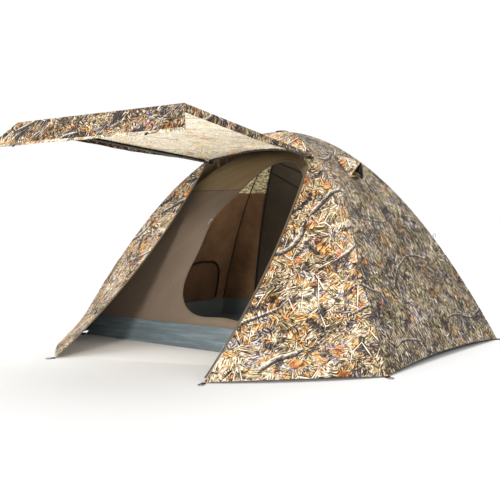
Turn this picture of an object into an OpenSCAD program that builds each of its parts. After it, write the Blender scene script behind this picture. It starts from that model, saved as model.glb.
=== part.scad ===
// Camouflage dome tent blind: a double-wall dome on two crossed poles, with a front vestibule whose
// door swings up on stays as an awning. Millimetres, +Z up, front towards -Y.
// The origin is on the ground under the middle of the floor.

/* [Fly] */
// Width of the fly at the ground, left to right
fly_w = 2180; // [1900:10:2400]
// Depth of the fly's dome at the ground, front poles to back poles
fly_l = 1400; // [1300:10:1600]
// Height of the fly's peak
fly_h = 1250; // [1150:10:1350]
// How round the dome is: 2 is a parabola, less is more pointed
bend = 1.9; // [1.7:0.05:2.1]
// How far down the roof the brow of the front door is, as a share of the dome's half size
brow_r = 0.35; // [0.33:0.01:0.37]
// How far the middle of the brow arches above its ends
brow_arch = 55; // [30:5:60]

/* [Inner tent] */
// Width of the inner tent at the ground
inner_w = 2060; // [1900:10:2080]
// Depth of the inner tent at the ground
inner_l = 1320; // [1200:10:1380]
// Height of the inner tent's peak
inner_h = 1160; // [1060:10:1240]
// Height of the waterproof tub's walls
tub_h = 128; // [100:2:130]
// Height of the seam between the walls and the mesh above them
seam_h = 892; // [850:2:920]

/* [Vestibule] */
// Half the gap between the two staked points of the vestibule
stake_x = 510; // [450:10:560]
// How far the staked points stand in front of the front poles
vestibule_l = 610; // [560:10:660]
// How far the door's side edges sag inwards at their middle
edge_sag = 70; // [50:5:80]

/* [Awning] */
// Half the length of the awning's front ridge
ridge_x = 560; // [520:5:580]
// Distance of the ridge in front of the tent's middle
ridge_y = 1490; // [1450:5:1520]
// Height of the ridge
ridge_h = 1206; // [1180:2:1230]
// Width of the valance that hangs from the ridge
valance_w = 160; // [120:5:165]
// Slope of the valance below level
valance_slope = 50; // [45:1:60]

/* [Poles and fittings] */
// Diameter of the fibreglass poles
pole_d = 9; // [8.5:0.5:9.5]
// Diameter of the stays in the awning's hems
stay_d = 8; // [7:0.5:8]
// Radius of the hole in the peg eyelets
eyelet_r = 8; // [6:0.5:9]
// Radius of the hole in the awning's corner sockets, for a prop's spike
prop_r = 5; // [4:0.5:6]
// How high the roof vents' hoods stand at their mouths
vent_open = 80; // [60:5:90]

/* [Hidden] */
$fn = 48;

fly = [fly_w, fly_l, fly_h];
inner = [inner_w, inner_l, inner_h];
skin = 0.998;          // the inner face of a sheet is its outer face drawn in by this much
sag = 0.006;           // how far a fly panel draws in between its poles
seam_gap = 1.2;        // half the gap between sheets that are sewn along a pole
tip = 0.02;            // sheets stop this share short of the peak, under the peak's patch
hem_z = 6;             // lowest edge of the fly, at its corners
hem_lift = 28;         // how much higher the hem is midway
front_lift = 10;       // and the same on the vestibule's sides
hem_flare = 40;        // how far the vestibule's hems swell outwards between their pegs
sheet_t = 2.5;         // flat sheets and straps
corner_turn = atan2(fly_l, fly_w);
fly_reach = norm([fly_w, fly_l]) / 2;
inner_reach = norm([inner_w, inner_l]) / 2;
pole_reach = fly_reach - 22;
pole_tops = [fly_h - 28, fly_h - 17];
pole_r = pole_d / 2;
pole_joints = 32;      // straight stretches from the peak to a foot
stay_r = stay_d / 2;

// Colours
camo = "darkkhaki";
taupe = "dimgray";
black = [0.12, 0.12, 0.12];

// ---- Curves that repeat ----

// Height of a dome at share r of the way from its middle to its edge
function height(r, h) = h * (1 - pow(r, bend));
// The share at which a dome is at height z
function share(z, h) = pow(1 - z / h, 1 / bend);
function steps(a, b, n) = [for (i = [0 : n]) a + (b - a) * i / n];
function mix(a, b, t) = a + (b - a) * t;
function unit(v) = v / norm(v);
function drawn(r, t, c) = 1 - c * (1 - t * t) * sin(180 * min(r, 1));
// A point of a dome's right side and of its back: t runs from front to back, and from left to right
function side_at(r, t, size, c = 0) =
    drawn(r, t, c) * [r * size.x / 2, t * (r * size.y / 2 - seam_gap), height(r, size.z)];
function back_at(r, t, size, c = 0) =
    drawn(r, t, c) * [t * (r * size.x / 2 - seam_gap), r * size.y / 2, height(r, size.z)];
function front_at(r, t, size, c = 0) =
    let (p = back_at(r, t, size, c)) [p.x, -p.y, p.z];
// Rows of a fly panel end on the hem, which is higher midway
function hem_r(t) = share(hem_z + hem_lift * (1 - t * t), fly_h);
foot_r = share(hem_z, fly_h);

// A closed sheet from a grid of points, seen from outside row by row and left to right
module sheet(grid, k = skin, loop = false) {
    rows = len(grid) - 1;
    n = len(grid[0]);
    cols = loop ? n : n - 1;
    outer = [for (row = grid) for (p = row) p];
    function at(i, j, inside) = inside * len(outer) + i * n + j % n;
    cells = [for (i = [0 : rows - 1]) for (j = [0 : cols - 1]) [i, j]];
    ends = loop ? [] : [for (i = [0 : rows - 1]) i];
    polyhedron(
        points = concat(outer, outer * k),
        faces = concat(
            [for (c = cells) [at(c[0], c[1], 0), at(c[0], c[1] + 1, 0), at(c[0] + 1, c[1] + 1, 0)]],
            [for (c = cells) [at(c[0], c[1], 0), at(c[0] + 1, c[1] + 1, 0), at(c[0] + 1, c[1], 0)]],
            [for (c = cells) [at(c[0] + 1, c[1] + 1, 1), at(c[0], c[1] + 1, 1), at(c[0], c[1], 1)]],
            [for (c = cells) [at(c[0] + 1, c[1], 1), at(c[0] + 1, c[1] + 1, 1), at(c[0], c[1], 1)]],
            [for (j = [0 : cols - 1]) [at(0, j + 1, 0), at(0, j, 0), at(0, j, 1), at(0, j + 1, 1)]],
            [for (j = [0 : cols - 1])
                [at(rows, j, 0), at(rows, j + 1, 0), at(rows, j + 1, 1), at(rows, j, 1)]],
            [for (i = ends) [at(i, 0, 0), at(i + 1, 0, 0), at(i + 1, 0, 1), at(i, 0, 1)]],
            [for (i = ends)
                [at(i + 1, cols, 0), at(i, cols, 0), at(i, cols, 1), at(i + 1, cols, 1)]]));
}

// A closed tube along a line that is never parallel to up
module tube(line, r, sides = 8, up = [0, 0, 1]) {
    n = len(line);
    ring = [for (i = [0 : n - 1])
        let (d = unit(line[min(i + 1, n - 1)] - line[max(i - 1, 0)]),
            a = unit(cross(d, up)), b = cross(d, a))
        for (k = [0 : sides - 1])
            line[i] + r * (cos(360 * k / sides) * a + sin(360 * k / sides) * b)];
    cells = [for (i = [0 : n - 2]) for (k = [0 : sides - 1]) [i * sides, k, (k + 1) % sides]];
    polyhedron(
        points = ring,
        faces = concat(
            [[for (k = [sides - 1 : -1 : 0]) k]],
            [[for (k = [0 : sides - 1]) (n - 1) * sides + k]],
            [for (c = cells) [c[0] + c[1], c[0] + c[2], c[0] + sides + c[2]]],
            [for (c = cells) [c[0] + c[1], c[0] + sides + c[2], c[0] + sides + c[1]]]));
}

module pair() {
    children();
    mirror([1, 0, 0]) children();
}

// Puts +Z along one direction and +X as near as it can be to another
module aim(p, along, out) {
    z = unit(along);
    y = unit(cross(z, out));
    x = cross(y, z);
    multmatrix([[x.x, y.x, z.x, p.x], [x.y, y.y, z.y, p.y], [x.z, y.z, z.z, p.z]]) children();
}

// Places children at the four ground corners with +X pointing out along the diagonal
module at_corners() {
    for (side = [0, 1]) mirror([side, 0, 0])
        for (end = [0, 1]) mirror([0, end, 0])
            rotate([0, 0, corner_turn]) children();
}

// A point on a pole's arc and the way it runs: arms 0 to 3 go anticlockwise from the back right
function arm_turn(arm) = [corner_turn, 180 - corner_turn, 180 + corner_turn, -corner_turn][arm];
function arc_at(arm, s, reach, top) =
    [reach * s * cos(arm_turn(arm)), reach * s * sin(arm_turn(arm)), height(s, top)];
function arc_slope(s, reach, top) = atan2(top * bend * pow(s, bend - 1), reach);
// Puts +Z down along the arc and +X away from the tent
module on_arc(arm, s, reach, top) {
    translate(arc_at(arm, s, reach, top)) rotate([0, 0, arm_turn(arm)])
        rotate([0, 90 + arc_slope(s, reach, top), 0]) rotate([0, 0, 180]) children();
}
module on_pole(arm, s) {
    on_arc(arm, s, pole_reach, pole_tops[arm % 2]) children();
}

// ---- Inner tent ----

module floor_sheet() {
    color("slategray") translate([3 - inner_w / 2, 3 - inner_l / 2, 0])
        cube([inner_w - 6, inner_l - 6, sheet_t]);
}

module tub_walls() {
    ring = [[1, -1], [1, 0], [1, 1], [0, 1], [-1, 1], [-1, 0], [-1, -1], [0, -1]];
    color("slategray") sheet([for (z = steps(tub_h, sheet_t + 0.6, 2))
        [for (c = ring) let (r = share(z, inner_h))
            [c.x * r * inner_w / 2, c.y * r * inner_l / 2, z]]], loop = true);
}

// The doorway is a triangle with soft corners. Turn b runs anticlockwise from its top.
door_x = 170;
door_z = 506;
function door_reach(b) = 444 + 46 * cos(b) - 22 * cos(2 * b) + 63 * cos(3 * b) + 10 * sin(3 * b)
    + 22 * cos(6 * b);
function on_front(x, z) = [x, -share(z, inner_h) * inner_l / 2, z];
function door_edge(b, more) =
    on_front(door_x - (door_reach(b) + more) * sin(b), door_z + (door_reach(b) + more) * cos(b));
// The front wall's own outline: up to the poles at the sides, down to the tub. A line from the
// doorway's middle at turn b meets it k away.
wall_foot = tub_h + 2;
wall_half = share(wall_foot, inner_h) * inner_w / 2 - seam_gap;
function in_wall(x, z) =
    z > wall_foot && z < inner_h && abs(x) < share(z, inner_h) * inner_w / 2 - seam_gap;
function meet(b, lo, hi, tries = 24) =
    let (k = (lo + hi) / 2)
    tries == 0 ? k
    : in_wall(door_x - k * sin(b), door_z + k * cos(b)) ? meet(b, k, hi, tries - 1)
    : meet(b, lo, k, tries - 1);
function wall_more(b) = meet(b, door_reach(b), inner_w) - door_reach(b);

// Turns round the doorway, with one at each lower corner of the wall
left_turn = atan2(door_x + wall_half, wall_foot - door_z);
right_turn = 360 + atan2(door_x - wall_half, wall_foot - door_z);
door_turns = concat(
    steps(0, left_turn, 15),
    [for (i = [1 : 17]) mix(left_turn, right_turn, i / 17)],
    [for (i = [1 : 15]) mix(right_turn, 360, i / 16)]);

module inner_front_wall() {
    color(taupe) sheet([for (u = steps(0, 1, 5))
        [for (b = door_turns) door_edge(b, mix(10.5, wall_more(b), u))]], loop = true);
}

module inner_door_zip() {
    color(black) sheet([for (more = [0, 9]) [for (b = door_turns) door_edge(b, more)]],
        loop = true);
}

module inner_back_wall() {
    color(taupe) sheet([for (r = steps(tip, share(wall_foot, inner_h), 10))
        [for (t = steps(1, -1, 6)) back_at(r, t, inner)]]);
}

module inner_side(from, to, rows) {
    sheet([for (r = steps(from, to, rows)) [for (t = steps(-1, 1, 6)) side_at(r, t, inner)]]);
}
module inner_right_wall() {
    color(taupe) inner_side(share(seam_h - 1.5, inner_h), share(wall_foot, inner_h), 7);
}
module inner_left_wall() {
    mirror([1, 0, 0]) inner_right_wall();
}
module inner_right_mesh() {
    color(black) inner_side(tip, share(seam_h + 1.5, inner_h), 5);
}
module inner_left_mesh() {
    mirror([1, 0, 0]) inner_right_mesh();
}

// The door rolled up beside the doorway and the two toggled loops that hold it
roll_r = 20;
function roll_at(b) = door_edge(b, 34) + [0, -28, 0];
module inner_door_roll() {
    color(taupe) tube([for (b = steps(-112, -42, 14)) roll_at(b)], roll_r, 12, [0, 1, 0]);
}
module door_ties() {
    color(black) for (b = [-92, -62]) aim(roll_at(b), roll_at(b + 2) - roll_at(b - 2), [0, -1, 0]) {
        rotate_extrude() translate([roll_r + 2.6, 0]) circle(r = 1.5, $fn = 16);
        translate([roll_r + 7.5, 0, -12]) cylinder(r = 3.2, h = 24);
    }
}

// An arched pocket on the inside of the left wall
module wall_pocket() {
    function top(v) = wall_foot + 20 + 275 * (1 - pow(abs(v), 3.5));
    mirror([1, 0, 0]) color(taupe) sheet([for (u = steps(0, 1, 3)) [for (v = steps(-1, 1, 12))
        let (z = mix(top(v), wall_foot + 4, u))
        0.993 * [share(z, inner_h) * inner_w / 2, 220 + 280 * v, z]]]);
}

module lantern_loop() {
    top = inner_h - 8;
    color(black) {
        translate([0, 0, top - 32]) rotate([90, 0, 0]) rotate_extrude()
            translate([12, 0]) circle(r = 1.8, $fn = 20);
        translate([-6, -1.5, top - 19.5]) cube([12, 3, 19.5]);
    }
}

// ---- Poles ----

module pole(arm) {
    last = 0.985;
    marks = concat([last], [for (i = [pole_joints - 1 : -1 : 1]) i / pole_joints]);
    tube(concat(
        [for (s = marks) arc_at(arm, s, pole_reach, pole_tops[arm % 2])],
        [[0, 0, pole_tops[arm % 2]]],
        [for (i = [len(marks) - 1 : -1 : 0])
            arc_at(arm + 2, marks[i], pole_reach, pole_tops[arm % 2])]), pole_r);
}
module pole_a() {
    color("gray") pole(0);
}
module pole_b() {
    color("gray") pole(1);
}

module pole_ferrules() {
    color("silver") for (arm = [0 : 3]) for (mark = [12.5, 22]) on_pole(arm, mark / pole_joints)
        difference() {
            cylinder(r = pole_r + 2.1, h = 36, center = true);
            cylinder(r = pole_r + 0.9, h = 40, center = true);
        }
}

module pole_feet() {
    end = 0.985;
    color(black) for (arm = [0 : 3]) {
        on_pole(arm, end) translate([0, 0, 0.4]) cylinder(r = 6.2, h = 26);
        translate(arc_at(arm, 1, pole_reach, 0)) {
            translate([0, 0, 0.4]) cylinder(r = 3, h = 14);
            translate([0, 0, 5]) cylinder(r = 7.5, h = 3);
        }
    }
}

// Clips from the inner tent's seams up to the poles
clip_marks = [5, 9, 15, 19, 25, 29];
function clip_gap(arm, s) = let (top = pole_tops[arm % 2])
    (height(s, top) - height(s * pole_reach / inner_reach, inner_h))
        * cos(arc_slope(s, pole_reach, top)) - 6;
module pole_clips() {
    color(black) for (arm = [0 : 3]) for (mark = clip_marks) {
        s = mark / pole_joints;
        on_pole(arm, s) difference() {
            union() {
                cylinder(r = pole_r + 3.2, h = 12, center = true);
                translate([-clip_gap(arm, s), -1.5, -6]) cube([clip_gap(arm, s) - pole_r - 1, 3, 12]);
            }
            cylinder(r = pole_r + 0.5, h = 16, center = true);
        }
    }
}

module apex_clip() {
    color(black) {
        translate([0, 0, inner_h + 0.8]) cylinder(r = 27, h = 2.6);
        translate([0, 0, inner_h + 3]) cylinder(r = 5, h = 45);
        translate([0, 0, pole_tops[0] - pole_r - 9]) cylinder(r = 12, h = 8);
    }
}

// ---- Ground corners ----

eye_out = fly_reach + 33;
module corner_straps() {
    color(black) at_corners() difference() {
        translate([inner_reach + 3, -12.5, 2]) cube([eye_out - inner_reach - 3 - 14.8, 25, sheet_t]);
        translate([pole_reach, 0, 1]) cylinder(r = 3.6, h = 5);
    }
}
module corner_buckles() {
    color(black) at_corners() translate([inner_reach + 16, 0, 0.3]) difference() {
        translate([-9, -17, 0]) cube([18, 34, 8]);
        translate([-10, -12.8, 1.3]) cube([20, 25.6, 3.3]);
        for (x = [-6.5, 1.5]) translate([x, -12, 2]) cube([5, 24, 7]);
    }
}
module eyelet(r) {
    difference() {
        cylinder(r = r + 6.5, h = 5);
        translate([0, 0, -1]) cylinder(r = r, h = 7);
    }
}
module corner_eyelets() {
    color("silver") at_corners() translate([eye_out, 0, 0]) eyelet(eyelet_r);
}

stake = [stake_x, -fly_l / 2 - vestibule_l, hem_z];
stake_turn = -70;
module vestibule_straps() {
    color(black) pair() translate([stake.x, stake.y, 2]) rotate([0, 0, stake_turn])
        translate([2, -10, 0]) cube([23, 20, sheet_t]);
}
module vestibule_eyelets() {
    color("silver") pair() translate([stake.x, stake.y, 0]) rotate([0, 0, stake_turn])
        translate([40, 0, 0]) eyelet(eyelet_r);
}

// ---- Fly ----

brow_z = height(brow_r, fly_h);
brow_corner = [brow_r * fly_w / 2, -brow_r * fly_l / 2, brow_z];
function brow_at(t) = let (z = brow_z + brow_arch * (1 - t * t))
    [t * brow_corner.x, -share(z, fly_h) * fly_l / 2, z];

module fly_front_roof() {
    color(camo) sheet([for (u = steps(0, 1, 6)) [for (t = steps(-1, 1, 10))
        let (r = mix(tip, share(brow_at(t).z, fly_h), u)) front_at(r, t, fly)]]);
}

// The seam to the vestibule strays from the front pole onto the side, most just below the brow
stray_end = 0.78;
function stray(r) = r < brow_r || r > stray_end ? 0
    : 0.28 * sin(180 * pow((r - brow_r) / (stray_end - brow_r), 0.6));
function side_t(r, u) = mix(-1 + stray(r), 1, u);
// Both sheets have the same rows along that seam, so that they never cross
low_rows = steps(brow_r + 0.02, foot_r, 9);

// The roof vents: a netted hole, a peaked hood over it and the prop that holds its mouth up
vent_y = 30;
vent_in = 0.36;
vent_out = 0.45;
mouth_r = 0.4625;
mouth_lean = 0.0276;    // how far up the roof the mouth's peak leans back
mouth_half = 75;
roof_tilt = atan2(fly_h * bend * pow(mouth_r, bend - 1), fly_w / 2);
roof_out = [sin(roof_tilt), 0, cos(roof_tilt)];
function on_side(r, y) = side_at(r, y / (r * fly_l / 2), fly, sag);
module vent_hole(less) {
    x = [vent_in * fly_w / 2 + less, vent_out * fly_w / 2 - less];
    y = [20 - less, 55 - less];
    translate([0, vent_y, fly_h / 2]) linear_extrude(height = fly_h)
        polygon([[x[0], -y[0]], [x[1], -y[1]], [x[1], y[1]], [x[0], y[0]]]);
}
module side_skin() {
    sheet([for (row = concat(steps(tip, brow_r, 5), low_rows)) [for (u = steps(0, 1, 10))
        let (r = mix(tip, hem_r(2 * u - 1), (row - tip) / (foot_r - tip)))
        side_at(r, side_t(r, u), fly, sag)]]);
}
module fly_right_panel() {
    color(camo) difference() {
        side_skin();
        vent_hole(0);
    }
}
module fly_left_panel() {
    mirror([1, 0, 0]) fly_right_panel();
}
module vent_mesh_right() {
    color(black) intersection() {
        side_skin();
        vent_hole(1.2);
    }
}
module vent_mesh_left() {
    mirror([1, 0, 0]) vent_mesh_right();
}
module vent_hood_right() {
    color(camo) sheet([for (u = steps(0, 1, 5)) [for (v = steps(-1, 1, 8))
        let (peak = 1 - pow(abs(v), 1.25), y = vent_y + mix(25, mouth_half, u) * v)
        on_side(mix(vent_in - 0.02, mouth_r - mouth_lean * peak, u), y)
            + (4 + vent_open * pow(u, 0.8) * peak) * roof_out]]);
}
module vent_hood_left() {
    mirror([1, 0, 0]) vent_hood_right();
}
strut_foot = on_side(mouth_r + 0.004, vent_y);
strut_top = on_side(mouth_r - mouth_lean, vent_y) + vent_open * roof_out;
module at_strut() {
    translate(strut_foot) rotate([0, roof_tilt, 0]) children();
}
module strut_bases() {
    color(black) pair() at_strut() {
        translate([-4, -7, 0.6]) cube([8, 14, 1.4]);
        for (y = [-6, 2.7]) translate([-2.5, y, 0.6]) cube([5, 3.3, 6.2]);
        translate([0, 6, 4.2]) rotate([90, 0, 0]) cylinder(r = 1.2, h = 12);
    }
}
module vent_strut_right() {
    color(black) translate(strut_foot + 4.2 * roof_out) difference() {
        union() {
            rotate([90, 0, 0]) cylinder(r = 2.1, h = 4.4, center = true);
            aim([0, 0, 0], strut_top - strut_foot, [0, 1, 0]) cylinder(r = 1.8, h = 76);
        }
        rotate([90, 0, 0]) cylinder(r = 1.27, h = 6, center = true);
    }
}
module vent_strut_left() {
    mirror([1, 0, 0]) vent_strut_right();
}

module fly_back_panel() {
    color(camo) sheet([for (v = steps(0, 1, 12)) [for (u = steps(0, 1, 8))
        let (t = 1 - 2 * u, r = mix(tip, hem_r(t), v)) back_at(r, t, fly, sag)]]);
}

module apex_patch() {
    color(black) translate([0, 0, fly_h + 0.6]) cylinder(r = 36, h = 2.4);
}

// ---- Vestibule ----

door_way = unit(stake - brow_corner);
door_out = unit(cross(door_way, [1, 0, 0]));
// A point of the right panel's free edge, s of the way down
function edge_at(s) = mix(brow_corner, stake, s) - 4 * s * (1 - s) * edge_sag * door_out;
function edge_way(s) = unit(edge_at(s + 0.01) - edge_at(s - 0.01));
function drop(r) = (brow_z - height(r, fly_h)) / (brow_z - hem_z);
wing_out = unit([stake.y * -1 - fly_l / 2, stake.x - fly_w / 2, 0]);

// From the free edge to the front pole, and past it to the seam on the tent's side
module vestibule_right_panel() {
    color(camo) sheet([for (r = low_rows)
        let (s = min(drop(r), 1), a = edge_at(s),
            b = [r * fly_w / 2, -r * fly_l / 2, height(r, fly_h)],
            c = side_at(r, side_t(r, 0), fly, sag) - [0, 2.4, 0],
            low = max(0, (s - 0.8) / 0.2), swell = low * (hem_flare * wing_out + [0, 0, front_lift]))
        concat([for (t = steps(0, 1, 8)) mix(a, b, t) + 4 * t * (1 - t) * swell],
            [mix(b, c, 0.5), c])]);
}
module vestibule_left_panel() {
    mirror([1, 0, 0]) vestibule_right_panel();
}

module zip_tape_right() {
    color(black) sheet([for (s = steps(0.05, 0.985, 16))
        [edge_at(s) - [14, 0, 0], edge_at(s) - [2, 0, 0]]]);
}
module zip_tape_left() {
    mirror([1, 0, 0]) zip_tape_right();
}
module edge_toggles() {
    color(black) pair() for (s = [0.26, 0.575, 0.78])
        aim(edge_at(s) + [16, 0, 0] + 6 * unit(door_out + [0.6, 0, 0]), edge_way(s), door_out)
            cylinder(r = 3.6, h = 24, center = true);
}

// The zip's slider, drawn at the middle of its tape with +Z up the tape and +X off the cloth
module slider() {
    translate([2.6, -5.5, -10]) cube([3, 11, 20]);
    for (y = [-4.4, 2.7]) translate([5, y, -2]) cube([4.4, 1.7, 4]);
    translate([7.8, 3, 0]) rotate([90, 0, 0]) cylinder(r = 1.2, h = 6);
}
module pull() {
    translate([7.8, 0, 0]) difference() {
        union() {
            rotate([90, 0, 0]) cylinder(r = 2, h = 4.6, center = true);
            translate([-0.9, -2.3, -30]) cube([1.8, 4.6, 30]);
        }
        rotate([90, 0, 0]) cylinder(r = 1.27, h = 6, center = true);
    }
}
slider_s = 0.86;
slider_top = 0.74;
module at_zip() {
    aim(edge_at(slider_s) - [8, 0, 0], edge_at(slider_top) - edge_at(slider_s), door_out) children();
}
module zip_slider_right() {
    color("silver") at_zip() slider();
}
module zip_slider_left() {
    mirror([1, 0, 0]) zip_slider_right();
}
module zip_pull_right() {
    color("silver") at_zip() pull();
}
module zip_pull_left() {
    mirror([1, 0, 0]) zip_pull_right();
}

door_zip_turn = 62;
module at_door_zip() {
    p = door_edge(door_zip_turn, 4.5);
    way = door_edge(door_zip_turn - 8, 4.5) - door_edge(door_zip_turn + 8, 4.5);
    aim(p, way, [0, -2.1, 1]) children();
}
module door_slider() {
    color("silver") at_door_zip() slider();
}
module door_pull() {
    color("silver") at_door_zip() pull();
}

module guy_loops() {
    color(black) for (arm = [0, 1]) on_arc(arm, 0.70, fly_reach, fly_h)
        translate([12, 0, 0]) rotate([90, 0, 0]) rotate_extrude()
            translate([9, 0]) circle(r = 1.5, $fn = 16);
}

// ---- Brow ----

hinge = brow_corner + [-21, -17, -18];
hinge_arms = [3, 2];
pin_r = 3;
module brow_batten() {
    color("gray") tube([for (t = steps(-0.86, 0.86, 20)) brow_at(t) + [0, 10, -10]], 3.2);
}
// A clamp on the pole and a fork for the stay's eye
module brow_brackets() {
    color(black) for (side = [0, 1]) {
        arm = hinge_arms[side];
        s = hinge.x / (pole_reach * cos(corner_turn));
        way = 1 - 2 * side;
        difference() {
            union() {
                on_pole(arm, s) cylinder(r = 7.6, h = 22, center = true);
                translate([way * hinge.x - 9, hinge.y, hinge.z - 6]) cube([18, 24, 12]);
                translate([way * hinge.x - 6, hinge.y + 19, hinge.z - 6]) cube([12, 8, 16]);
                translate([way * hinge.x - 9, hinge.y, hinge.z]) rotate([0, 90, 0])
                    cylinder(r = 6.5, h = 18);
            }
            on_pole(arm, s) cylinder(r = pole_r + 0.9, h = 60, center = true);
            translate([way * hinge.x - 4.6, hinge.y, hinge.z]) rotate([0, 90, 0])
                cylinder(r = 9, h = 9.2);
        }
        translate([way * hinge.x - 8, hinge.y, hinge.z]) rotate([0, 90, 0]) cylinder(r = pin_r, h = 16);
    }
}
module tie_straps() {
    color("lightgray") pair() translate(brow_at(0.8) - [8, 3, 60]) {
        cube([16, 2, 51]);
        translate([8, 1, -13]) rotate([90, 0, 0]) rotate_extrude()
            translate([10, 0]) circle(r = 1.6, $fn = 16);
    }
}

// ---- Awning ----

ridge_drop = 15.5;
socket = [ridge_x - 12, -ridge_y + 12, ridge_h - ridge_drop];
stay_way = unit(socket - hinge);
function root_at(t) = let (p = brow_at(t)) [t * (brow_corner.x - 14), p.y - 6, p.z - 6];
function ridge_at(t) = [t * ridge_x, -ridge_y, ridge_h];
function awning_at(u, t) =
    mix(root_at(t), ridge_at(t), u) - [0, 0, 14 * sin(180 * u) * (1 - t * t)];

module awning_panel() {
    color(camo) sheet([for (u = steps(0, 1, 12)) [for (t = steps(-1, 1, 12)) awning_at(u, t)]]);
}
module awning_skirts() {
    color(camo) pair() sheet([for (low = [0, 1]) [for (u = steps(1, 0.06, 12))
        awning_at(u, 1) + [2.2, 0, -1.5] + low * mix(12, 50, min(2.2 * u, 1)) * [0.35, 0, -0.94]]]);
}
module awning_stays() {
    far = norm(socket - hinge) - 9;
    color("gray") pair() difference() {
        union() {
            aim(hinge, stay_way, [0, 0, 1]) {
                cylinder(r = stay_r - 1, h = 12);
                translate([0, 0, 10]) cylinder(r = stay_r, h = far - 10);
            }
            translate(hinge - [4, 0, 0]) rotate([0, 90, 0]) cylinder(r = 6.5, h = 8);
        }
        translate(hinge - [6, 0, 0]) rotate([0, 90, 0]) cylinder(r = pin_r + 0.06, h = 12);
    }
}
module awning_ridge_stay() {
    color("gray") translate([9 - socket.x, socket.y, socket.z]) rotate([0, 90, 0])
        cylinder(r = stay_r, h = 2 * socket.x - 18);
}
module awning_sockets() {
    color(black) pair() translate(socket) difference() {
        union() {
            translate([0, 0, -12]) cylinder(r = prop_r + 3.5, h = 22);
            rotate([0, -90, 0]) cylinder(r = stay_r + 2.4, h = 26);
            aim([0, 0, 0], -stay_way, [0, 0, 1]) cylinder(r = stay_r + 2.4, h = 26);
        }
        translate([0, 0, -14]) cylinder(r = prop_r, h = 26);
        rotate([0, -90, 0]) translate([0, 0, 8.8]) cylinder(r = stay_r + 0.06, h = 30);
        aim([0, 0, 0], -stay_way, [0, 0, 1]) translate([0, 0, 8.8])
            cylinder(r = stay_r + 0.06, h = 30);
    }
}

fall = [0, -cos(valance_slope), -sin(valance_slope)];
valance_flare = 0.18;   // how much longer its lower edge is
module valance_panel() {
    color(camo) sheet([for (w = steps(4, valance_w, 4)) [for (t = steps(-1, 1, 10))
        ridge_at(t * (1 + valance_flare * w / valance_w)) + w * fall]], 0.9987);
}
module valance_loops() {
    color(black) pair() aim(ridge_at(0.8) + (valance_w + 1) * fall, fall, [0, 0, 1])
        translate([-1.2, -8, 0]) cube([2.4, 16, 14]);
}

// ---- The parts ----

floor_sheet();
tub_walls();
inner_front_wall();
inner_back_wall();
inner_left_wall();
inner_right_wall();
inner_left_mesh();
inner_right_mesh();
inner_door_zip();
inner_door_roll();
door_ties();
wall_pocket();
lantern_loop();
pole_a();
pole_b();
pole_ferrules();
pole_feet();
pole_clips();
apex_clip();
corner_straps();
corner_buckles();
corner_eyelets();
vestibule_straps();
vestibule_eyelets();
fly_front_roof();
fly_right_panel();
fly_left_panel();
fly_back_panel();
apex_patch();
vestibule_right_panel();
vestibule_left_panel();
guy_loops();
brow_batten();
brow_brackets();
tie_straps();
vent_mesh_right();
vent_mesh_left();
strut_bases();
zip_tape_right();
zip_tape_left();
edge_toggles();
awning_panel();
awning_skirts();
awning_stays();
awning_ridge_stay();
awning_sockets();
valance_panel();
valance_loops();
vent_hood_right();
vent_hood_left();
vent_strut_right();
vent_strut_left();
zip_slider_right();
zip_slider_left();
zip_pull_right();
zip_pull_left();
door_slider();
door_pull();
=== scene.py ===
"""A camouflage dome tent in cloth around its CAD frame. Metres, +Z up, front towards -Y."""

import math

import bpy
import numpy as np
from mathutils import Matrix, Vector, noise


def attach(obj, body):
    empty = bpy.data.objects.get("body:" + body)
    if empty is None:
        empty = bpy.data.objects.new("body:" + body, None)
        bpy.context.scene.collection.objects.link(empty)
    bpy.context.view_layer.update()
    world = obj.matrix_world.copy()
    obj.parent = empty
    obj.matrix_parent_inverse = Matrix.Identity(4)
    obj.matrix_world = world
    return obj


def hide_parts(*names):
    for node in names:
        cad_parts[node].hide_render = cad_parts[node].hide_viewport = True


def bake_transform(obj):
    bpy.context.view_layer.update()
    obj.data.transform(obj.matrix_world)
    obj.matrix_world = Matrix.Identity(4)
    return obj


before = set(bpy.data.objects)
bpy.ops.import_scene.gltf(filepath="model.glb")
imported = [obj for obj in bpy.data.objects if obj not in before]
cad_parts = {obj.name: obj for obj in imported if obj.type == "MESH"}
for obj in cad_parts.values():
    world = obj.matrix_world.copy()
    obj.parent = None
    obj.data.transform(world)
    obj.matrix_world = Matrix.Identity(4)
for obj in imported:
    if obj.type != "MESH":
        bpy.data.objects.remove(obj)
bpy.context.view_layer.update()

# ---- Sizes, the same as the CAD's ----

FLY = (2.18, 1.40, 1.25)  # width and depth at the ground, and height
INNER = (2.06, 1.32, 1.16)
HALF_W = FLY[0] / 2
HALF_L = FLY[1] / 2
BEND = 1.9  # how round a dome is: 2 is a parabola
SAG = 0.006  # how far a fly panel draws in between its poles
SEAM_GAP = 0.0012  # half the gap between panels that are sewn along a pole
TIP = 0.02  # panels stop this share short of the peak

BROW_R = 0.35  # how far down the roof the brow is, as a share of the dome's half size
BROW_ARCH = 0.055
STRAY = 0.28  # how far back a side panel's front edge runs off the pole, as a share of its half
STRAY_END = 0.78  # and how far down the dome it is on the pole again
HEM_Z = 0.006  # the fly's lowest edge, at its corners
HEM_LIFT = 0.028  # how much higher a hem is midway
FRONT_LIFT = 0.010  # and the same on the vestibule's sides
HEM_FLARE = 0.040  # how far the vestibule's hems swell out between their pegs
EDGE_SAG = 0.070  # how far the vestibule's free edges sag inwards
STAKE = np.array([0.510, -1.310, HEM_Z])  # the right peg of the vestibule

RIDGE = (0.560, -1.490, 1.206)  # the right end of the awning's front ridge
AWNING_SAG = 0.014
VALANCE_W = 0.160
VALANCE_FLARE = 0.18  # how much wider the valance is at its hem
VALANCE_SLOPE = math.radians(50)

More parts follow.
